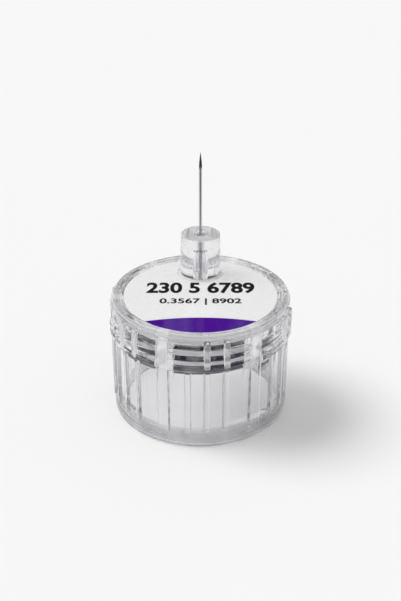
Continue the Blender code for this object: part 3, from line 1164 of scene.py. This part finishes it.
    def _wall_surface(self, bm: bmesh.types.BMesh) -> None:
        """Adds the turned wall with its pads, ribs and thread, and gives its parts their finishes, with their
        painted shade and painted light.

        Args:
            bm: Where the surface goes.
        """
        outer = self._outer_path()
        plain = len(outer)
        foot = outer.index(min(outer, key=lambda point: point[1]))
        thread = ThreadPlan(self.grip, self.ceiling)
        thread_rows = thread.rows()
        bore, ceiling = self.bore_radius, self.ceiling
        path = outer + [(bore, self.row_start + self.row_step * index) for index in range(len(thread_rows))]
        end = ((bore, ceiling - 0.00003, 0.0), (bore, ceiling, 0.00002), (bore - 0.0002, ceiling, 0.0))
        path += rounded_path(end)
        angles = self.grip.angles()
        step = math.tau / len(angles)
        verts = spin_path(bm, path, len(angles), copies=self.grip.modules)
        row = bm.verts.layers.int["row"]
        ridges: set[bmesh.types.BMVert] = set()
        order = (Zone.GROOVE, Zone.RIM, Zone.FOOT, Zone.THREAD, Zone.SOFT, Zone.FLANK)
        zones: dict[Zone, set[bmesh.types.BMVert]] = {zone: set() for zone in order}
        for vert in verts:
            index = vert[row]
            angle = angles[round(math.atan2(vert.co.x, -vert.co.y) / step) % len(angles)]
            radius, height = path[index]
            if index < plain and height > self.rim_low:
                zones[Zone.RIM].add(vert)
            # The ring at the foot gets its painted shade
            elif index < plain and height < self.foot_top:
                zones[Zone.FOOT].add(vert)
            if index < foot:
                radius = self.grip.outside(angle, height, radius)
                for zone in self._outside_zones(angle, height):
                    zones[zone].add(vert)
            elif plain <= index < plain + len(thread_rows):
                turn, offset = thread_rows[index - plain]
                height = thread.middle_height(angle, turn) + offset
                depth = thread.inside(angle, turn, offset)
                radius -= depth
                if depth > thread.depth * self.shown:
                    ridges.add(vert)
                # The thread's wall gets the groove's painted shade, and the wall just above the lowest ridge
                # the thread's
                if thread.window(angle) > self.shown:
                    zones[Zone.GROOVE].add(vert)
                    if turn == thread.turns - 1 and offset > thread.root_half - SAME_HEIGHT:
                        zones[Zone.THREAD].add(vert)
            spoke = math.radians(angle)
            vert.co = (radius * math.sin(spoke), -radius * math.cos(spoke), height)
        for zone, members in zones.items():
            for face in {face for vert in members for face in vert.link_faces}:
                if members.issuperset(face.verts):
                    face.material_index = zone
        # The ridges get the thread's near-black painted shade
        for face in {face for vert in ridges for face in vert.link_faces}:
            face.material_index = Zone.THREAD

    def _boss_surface(self, bm: bmesh.types.BMesh) -> None:
        """Adds the boss with its passage and guide, and gives its parts their finishes, with painted light on
        its upper face.

        Args:
            bm: Where the surface goes.
        """
        spin_path(bm, self._boss_path(), self.boss_steps, AXIS_Y)
        wall_span = (self.seat + self.wall_low, BOSS_TOP - self.boss_edge)
        for face in bm.faces:
            heights = [vert.co.z for vert in face.verts]
            if all(math.hypot(vert.co.x, vert.co.y - AXIS_Y) < self.passage_radius for vert in face.verts):
                face.material_index = Zone.PASSAGE
            elif min(heights) > self.seat - SAME_HEIGHT:
                wall = any(within(height, wall_span) for height in heights)
                fillet = max(heights) < self.seat + self.fillet_high
                # Faces above the boss's wall, on its upper face, get the satin finish with painted light
                face.material_index = Zone.BOSS if wall else Zone.FILLET if fillet else Zone.SOFT

    def build(self, effects: SurfaceEffects) -> bpy.types.Object:
        """Builds the hub.

        Args:
            effects: The shared node groups.

        Returns:
            The piece.
        """
        bm = bmesh.new()
        self._boss_surface(bm)
        self._wall_surface(bm)
        open_edges = [edge for edge in bm.edges if edge.is_boundary]
        for height in (self.seat, self.ceiling):
            ring = [edge for edge in open_edges
                    if all(abs(vert.co.z - height) < SAME_HEIGHT for vert in edge.verts)]
            bmesh.ops.triangle_fill(bm, use_beauty=True, use_dissolve=False, edges=ring)
            for edge in ring:
                edge.smooth = False
        bmesh.ops.recalc_face_normals(bm, faces=bm.faces)
        made = keep_mesh(bm, "clear_hub", [HUB_FINISHES[zone].build(effects) for zone in Zone])
        return attach(made, Slot.CLEAR_PLASTIC, "hub")


@dataclass
class Cannula:
    """The drawn steel tube, ground to a point at both ends.

    Attributes:
        tip: The height of its front point.
        rear: The height of its rear point.
        outer: Its outer radius.
        inner: The radius of its lumen.
        steps: The steps of its turn.
        bevel: The length of the main bevel.
        lancet: The length of the two side bevels.
        lancet_turn: How far round they are ground.
        rear_bevel: The length of the rear bevel.
        bonded: The heights between which it lies in the glue.
    """

    tip: float = 0.01469
    rear: float = 0.0013
    outer: float = 0.00009
    inner: float = 0.000045
    steps: int = 48
    bevel: float = 0.00085
    lancet: float = 0.0013
    lancet_turn: float = 60.0
    rear_bevel: float = 0.0006
    bonded: Point = (COLUMN_LOW, 0.00962)

    def _grind(self, bm: bmesh.types.BMesh, height: float, length: float, turn: float = 0.0,
               upward: bool = True) -> None:
        """Grinds one flat face.

        Args:
            bm: The tube.
            height: Where the face leaves the tube's back.
            length: How long it would be across the whole tube.
            turn: How far round it lies from the front.
            upward: Whether it is at the upper end.
        """
        slope = math.atan2(2 * self.outer, length)
        place = Matrix.Translation((0.0, AXIS_Y, height))
        if not upward:
            place = place @ Matrix.Rotation(math.pi, 4, "Y")
        place = place @ Matrix.Rotation(math.radians(turn), 4, "Z")
        place = place @ Matrix.Translation((0.0, self.outer, 0.0)) @ Matrix.Rotation(-slope, 4, "X")
        cut = bmesh.ops.bisect_plane(
            bm, geom=[*bm.verts, *bm.edges, *bm.faces], dist=ON_PLANE, plane_co=place.to_translation(),
            plane_no=place.to_3x3() @ Vector((0.0, -1.0, 0.0)), clear_outer=True, clear_inner=False,
        )
        ring = [item for item in cut["geom_cut"] if isinstance(item, bmesh.types.BMEdge) and item.is_boundary]
        filled = bmesh.ops.triangle_fill(bm, use_beauty=True, use_dissolve=False, edges=ring)
        # The ground face takes the near-black steel: painted dark reflection
        for item in filled["geom"]:
            if isinstance(item, bmesh.types.BMFace):
                item.material_index = Metal.GROUND

    def build(self, effects: SurfaceEffects) -> bpy.types.Object:
        """Builds the cannula.

        Args:
            effects: The shared node groups.

        Returns:
            The piece.
        """
        bm = bmesh.new()
        low, high = self.bonded
        profile = [(self.outer, height) for height in (self.tip, high, low, self.rear)]
        profile += [(self.inner, self.rear), (self.inner, self.tip)]
        spin_path(bm, profile, self.steps, AXIS_Y, closed=True)
        lumen = (self.outer + self.inner) / 2
        for face in bm.faces:
            # The lumen takes the near-black steel: painted shade
            if all(math.hypot(vert.co.x, vert.co.y - AXIS_Y) < lumen for vert in face.verts):
                face.material_index = Metal.GROUND
            # The length in the glue takes the lighter steel: painted light
            elif all(within(vert.co.z, (low - APART, high + APART)) for vert in face.verts):
                face.material_index = Metal.BONDED
        bmesh.ops.recalc_face_normals(bm, faces=bm.faces)
        lancet_tip = self.tip + self.lancet * (1 - math.cos(math.radians(self.lancet_turn))) / 2
        self._grind(bm, self.tip, self.bevel)
        self._grind(bm, lancet_tip, self.lancet, -self.lancet_turn)
        self._grind(bm, lancet_tip, self.lancet, self.lancet_turn)
        self._grind(bm, self.rear, self.rear_bevel, upward=False)
        bmesh.ops.recalc_face_normals(bm, faces=bm.faces)
        made = keep_mesh(bm, "steel_cannula", [STEEL_FINISHES[metal].build(effects) for metal in Metal])
        return attach(made, Slot.STEEL, "cannula")


@dataclass
class Glue:
    """The cured glue in the boss: a fillet, a thin sleeve and a column.

    Attributes:
        inner: Its radius towards the cannula.
        column: The column's radius.
        neck: The sleeve's radius.
        steps: The steps of its turn.
    """

    inner: float = 0.000105
    column: float = 0.00026
    neck: float = 0.00017
    steps: int = 72

    def build(self, effects: SurfaceEffects) -> bpy.types.Object:
        """Builds the glue.

        Args:
            effects: The shared node groups.

        Returns:
            The piece.
        """
        inner, neck, column = self.inner, self.neck, self.column
        corners = [
            (inner, COLUMN_LOW + 0.0002, 0.0), (inner, BOSS_TOP - 0.00007, 0.0),
            # Fillet in the dimple
            (0.0002, BOSS_TOP - 0.00009, 0.00005), (0.00033, BOSS_TOP - 0.00004, 0.00001),
            # Sleeve in the channel
            (neck, BOSS_TOP - 0.00024, 0.00004), (neck, BOSS_TOP - 0.00096, 0.00003),
            # Column in the well
            (column, BOSS_TOP - 0.00102, 0.00004), (column, COLUMN_LOW, 0.00006),
            (inner, COLUMN_LOW, 0.00002), (inner, COLUMN_LOW + 0.0001, 0.0),
        ]
        bm = bmesh.new()
        spin_path(bm, rounded_path(corners), self.steps, AXIS_Y, closed=True)
        bmesh.ops.recalc_face_normals(bm, faces=bm.faces)
        made = keep_mesh(bm, "glue_fill", [GLUE_FINISH.build(effects)])
        return attach(made, Slot.ADHESIVE, "adhesive")


@dataclass
class PrintedRow:
    """One row of plain digits on the label.

    Attributes:
        name: The piece's name.
        text: What it reads.
        width: How wide it is.
        cap_height: How tall its digits are.
        baseline_y: Where the digits stand.
        weight: How much the strokes are thickened, as a share of the size.
        extrude: Half the layer's thickness before it is flattened.
        flattening: How much thinner it then gets.
    """

    name: str
    text: str
    width: float
    cap_height: float
    baseline_y: float
    weight: float
    extrude: float = 0.002
    flattening: float = 0.001

    def build(self, ink: bpy.types.Material, height: float) -> bpy.types.Object:
        """Builds the row as a thin layer of ink.

        Args:
            ink: The ink's material.
            height: The height of the film that it lies on.

        Returns:
            The piece.
        """
        curve = bpy.data.curves.new(self.name, "FONT")
        curve.body = self.text
        curve.offset = self.weight
        curve.extrude = self.extrude
        curve.resolution_u = 6
        mesh = mesh_of(curve)
        xs = [vert.co.x for vert in mesh.vertices]
        ys = [vert.co.y for vert in mesh.vertices]
        wide, tall = max(xs) - min(xs), max(ys) - min(ys)
        scale = (self.width / wide, self.cap_height / tall, self.flattening, 1.0)
        centre = Matrix.Translation((-(max(xs) + min(xs)) / 2, -min(ys), self.extrude))
        mesh.transform(Matrix.Translation((0.0, self.baseline_y, height)) @ Matrix.Diagonal(scale) @ centre)
        return attach(link_piece(self.name, mesh, [ink]), Slot.LABEL_FILM)


@dataclass
class Film:
    """A thin flat film with a rounded edge, stuck to the disc.

    Attributes:
        name: The piece's name.
        node: The CAD node that it stands for.
        slot: The material slot that it is passed on with.
        outlines: Its closed outlines, the first its edge and the rest its holes.
        edge_radius: The radius of its rounded edge.
    """

    name: str
    node: str
    slot: Slot
    outlines: tuple[tuple[Point, ...], ...]
    edge_radius: float = 0.000008

    def build(self, material: bpy.types.Material, low: float, high: float) -> bpy.types.Object:
        """Builds the film.

        Args:
            material: Its finish.
            low: The height of its underside.
            high: The height of its upper face.

        Returns:
            The piece.
        """
        curve = bpy.data.curves.new(self.name, "CURVE")
        curve.dimensions = "2D"
        curve.fill_mode = "BOTH"
        curve.bevel_depth = self.edge_radius
        curve.bevel_resolution = 1
        curve.offset = -curve.bevel_depth
        curve.extrude = (high - low) / 2 - curve.bevel_depth
        for outline in self.outlines:
            spline = curve.splines.new("POLY")
            spline.points.add(len(outline) - 1)
            for point, (x, y) in zip(spline.points, outline):
                point.co = (x, y, 0.0, 1.0)
            spline.use_cyclic_u = True
        mesh = mesh_of(curve)
        mesh.transform(Matrix.Translation((0.0, 0.0, (low + high) / 2)))
        return attach(link_piece(self.name, mesh, [material]), self.slot, self.node)


@dataclass
class Label:
    """The pale film, its violet field and the digits on it.

    Attributes:
        radius: The label's radius.
        low: The height of the films' underside, which is bonded to the disc.
        top: The height of their upper face.
        hole_radius: The radius of the hole for the boss.
        corner_half_width: Half the distance between the violet field's corners.
        arc_radius: The radius of the violet field's inner edge.
        gap: The gap between the two films.
        edge_steps: The steps of the pale film's edge.
        front_steps: The steps of the violet field's edge.
        hole_steps: The steps of the hole's edge.
        arc_steps: The steps of the violet field's inner edge.
        rows: The printed rows.
    """

    radius: float = 0.00442
    low: float = 0.007055
    top: float = 0.00712
    hole_radius: float = 0.00136
    corner_half_width: float = 0.00307
    arc_radius: float = 0.0116
    gap: float = 0.00001
    edge_steps: int = 200
    front_steps: int = 80
    hole_steps: int = 96
    arc_steps: int = 48
    rows: tuple[PrintedRow, ...] = (
        PrintedRow("digits_large", "230 5 6789", 0.00630, 0.00137, 0.00009, 0.034),
        PrintedRow("digits_small", "0.3567 | 8902", 0.00467, 0.00078, -0.00131, 0.024),
    )

    def _rim(self, start: float, end: float, steps: int) -> tuple[Point, ...]:
        """Points on the label's edge between two angles from the front."""
        turns = [start + (end - start) * step / steps for step in range(steps + 1)]
        return tuple((self.radius * math.sin(turn), -self.radius * math.cos(turn)) for turn in turns)

    def _hole(self) -> tuple[Point, ...]:
        """Draws the edge of the hole for the boss.

        Returns:
            Its points.
        """
        radius = self.hole_radius
        turns = [math.tau * step / self.hole_steps for step in range(self.hole_steps)]
        return tuple((radius * math.cos(turn), AXIS_Y + radius * math.sin(turn)) for turn in turns)

    def _arc(self, shift: float) -> tuple[Point, ...]:
        """Draws the violet field's inner edge.

        Args:
            shift: How far behind the middle of the gap it lies.

        Returns:
            Its points from the right to the left, without the two corners.
        """
        radius, steps = self.arc_radius, self.arc_steps
        centre = -math.sqrt(self.radius ** 2 - self.corner_half_width ** 2)
        centre -= math.sqrt(radius ** 2 - self.corner_half_width ** 2) - shift
        half = math.asin(self.corner_half_width / radius)
        turns = [half - 2 * half * step / steps for step in range(1, steps)]
        return tuple((radius * math.sin(turn), centre + radius * math.cos(turn)) for turn in turns)

    def build(self, effects: SurfaceEffects) -> None:
        """Builds the two films and prints the digits.

        Args:
            effects: The shared node groups.
        """
        corner = math.asin(self.corner_half_width / self.radius)
        edge = self._rim(corner, math.tau - corner, self.edge_steps)
        pale = (edge + self._arc(self.gap)[::-1], self._hole())
        violet = (self._rim(-corner, corner, self.front_steps) + self._arc(-self.gap),)
        label = Film("label_film", "label", Slot.LABEL_FILM, pale)
        label.build(PALE_FINISH.build(effects), self.low, self.top)
        colour_field = Film("violet_field", "colour_field", Slot.VIOLET_FILM, violet)
        colour_field.build(VIOLET_FINISH.build(effects), self.low, self.top)
        ink = INK_FINISH.build(effects)
        for row in self.rows:
            row.build(ink, self.top)


@dataclass
class Studio:
    """The pale floor, the soft light and the camera.

    Attributes:
        floor_half: Half the floor's side.
        floor_colour: The floor's colour.
        floor_shade: How much darker it is in places.
        floor_span: Where between 0 and 1 its noise turns lighter.
        floor_waves: How many waves that noise has in a metre.
        floor_rough: How rough the floor is.
        painted_dark_reflection: The floor's colour in reflections only, far in front of the object: a painted
            dark reflection.
        dark_reflection_span: Where along Y the painted dark reflection starts and where it is full.
        dark_reflection_sides: How far aside it ends and how far it is full, in shares of Y.
        backdrop: How light the backdrop is to the camera.
        reflected: The places and levels of the light that reflections see, from below to above.
        sky_strength: The strength of the light from all round.
        key_strength: The strength of the light from the upper left.
        key_angle: How wide that light is, in degrees.
        key_from: The direction that it comes from.
        lens: The camera's focal length in millimetres.
        camera_place: Where the camera stands.
        camera_target: Where it looks.
        clip: The nearest and the farthest that it sees.
        bounces: How often light may pass through or be let by.
        mirror_bounces: How often it may be reflected.
    """

    floor_half: float = 0.6
    floor_colour: float = 0.93
    floor_shade: float = 0.004
    floor_span: Point = (0.3, 0.7)
    floor_waves: float = 60.0
    floor_rough: float = 0.9
    painted_dark_reflection: float = 0.12
    dark_reflection_span: Point = (-0.012, -0.022)
    dark_reflection_sides: Point = (0.9, 0.4)
    backdrop: float = 0.93
    reflected: tuple[Point, ...] = (
        (0.0, 0.93), (0.53, 0.80), (0.58, 0.34), (0.66, 0.28),
        (0.71, 0.11), (0.79, 0.11), (0.84, 0.35), (0.90, 1.2),
    )
    sky_strength: float = 0.56
    key_strength: float = 1.84
    key_angle: float = 30.0
    key_from: Triple = (-0.80, 0.25, 1.0)
    lens: float = 57.12
    camera_place: Triple = (0.0, -0.0486, 0.03295)
    camera_target: Triple = (0.0, 0.0, 0.006693)
    clip: Point = (0.001, 10.0)
    bounces: int = 24
    mirror_bounces: int = 12

    def _floor(self) -> None:
        """Adds the floor, painted dark in reflections far in front of the object."""
        bm = bmesh.new()
        bmesh.ops.create_grid(bm, x_segments=1, y_segments=1, size=self.floor_half)
        material, sheet, shader = new_material("pale_floor")
        shades = (grey(self.floor_colour - self.floor_shade), grey(self.floor_colour))
        colour = sheet.ramp(sheet.noise(self.floor_waves, 2.0), zip(self.floor_span, shades))
        # Far in front, the floor turns dark in reflections only: a painted dark reflection
        spot = sheet.add("SeparateXYZ", {"Vector": sheet.place()}).outputs
        ahead = sheet.remap(spot["Y"], *self.dark_reflection_span)
        turned = sheet.work_out("ABSOLUTE", sheet.work_out("DIVIDE", spot["X"], spot["Y"]))
        dark_reflection_share = sheet.work_out("MULTIPLY", ahead, sheet.remap(turned, *self.dark_reflection_sides))
        share = sheet.work_out("MULTIPLY", sheet.add("LightPath").outputs["Is Glossy Ray"], dark_reflection_share)
        sheet.fill(shader, {
            "Roughness": self.floor_rough,
            "Specular IOR Level": 0.0,
            "Base Color": sheet.mix(share, colour, opaque(grey(self.painted_dark_reflection))),
        })
        keep_mesh(bm, "floor", [material])

    def _world(self) -> None:
        """Sets the light from all round: plain for surfaces, with a darker band for reflections."""
        world = bpy.data.worlds.new("studio")
        world.use_nodes = True
        bpy.context.scene.world = world
        sheet = NodeSheet(world.node_tree)
        up = sheet.add("SeparateXYZ", {"Vector": sheet.place("Generated")}).outputs["Z"]
        stops = [(place, grey(level)) for place, level in self.reflected]
        seen = sheet.ramp(sheet.remap(up, -1.0, 1.0), stops)
        path = sheet.add("LightPath").outputs
        plain = sheet.mix(path["Is Camera Ray"], opaque(grey(self.sky_strength)), opaque(grey(self.backdrop)))
        bent = sheet.work_out("MAXIMUM", path["Is Glossy Ray"], path["Is Transmission Ray"])
        sheet.fill(world.node_tree.nodes["Background"], {"Color": sheet.mix(bent, plain, seen)})

    def _key(self) -> None:
        """Adds the soft light from the upper left, a little behind the object."""
        lamp = bpy.data.lights.new("key", "SUN")
        lamp.energy = self.key_strength
        lamp.angle = math.radians(self.key_angle)
        lamp.cycles.use_multiple_importance_sampling = False
        key = bpy.data.objects.new("key", lamp)
        key.rotation_euler = Vector(self.key_from).to_track_quat("Z", "Y").to_euler()
        key.visible_transmission = False
        key.visible_glossy = False
        bpy.context.scene.collection.objects.link(key)

    def _camera(self) -> None:
        """Adds the camera at the photograph's angle."""
        data = bpy.data.cameras.new("camera")
        data.lens = self.lens
        data.clip_start, data.clip_end = self.clip
        camera = bpy.data.objects.new("camera", data)
        camera.location = self.camera_place
        aim = Vector(self.camera_target) - Vector(self.camera_place)
        camera.rotation_euler = aim.to_track_quat("-Z", "Y").to_euler()
        bpy.context.scene.collection.objects.link(camera)
        bpy.context.scene.camera = camera

    def build(self) -> None:
        """Builds the whole studio."""
        self._floor()
        self._world()
        self._key()
        self._camera()
        scene = bpy.context.scene
        scene.view_settings.view_transform = "Standard"
        scene.cycles.max_bounces = self.bounces
        scene.cycles.transmission_bounces = self.bounces
        scene.cycles.glossy_bounces = self.mirror_bounces
        scene.cycles.transparent_max_bounces = self.bounces


def main() -> None:
    """Builds the needle and its studio."""
    logging.basicConfig(level=logging.INFO, format="%(name)s: %(message)s")
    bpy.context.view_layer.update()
    effects = SurfaceEffects()
    Hub().build(effects)
    Cannula().build(effects)
    Glue().build(effects)
    Label().build(effects)
    Studio().build()


if __name__ == "__main__":
    main()
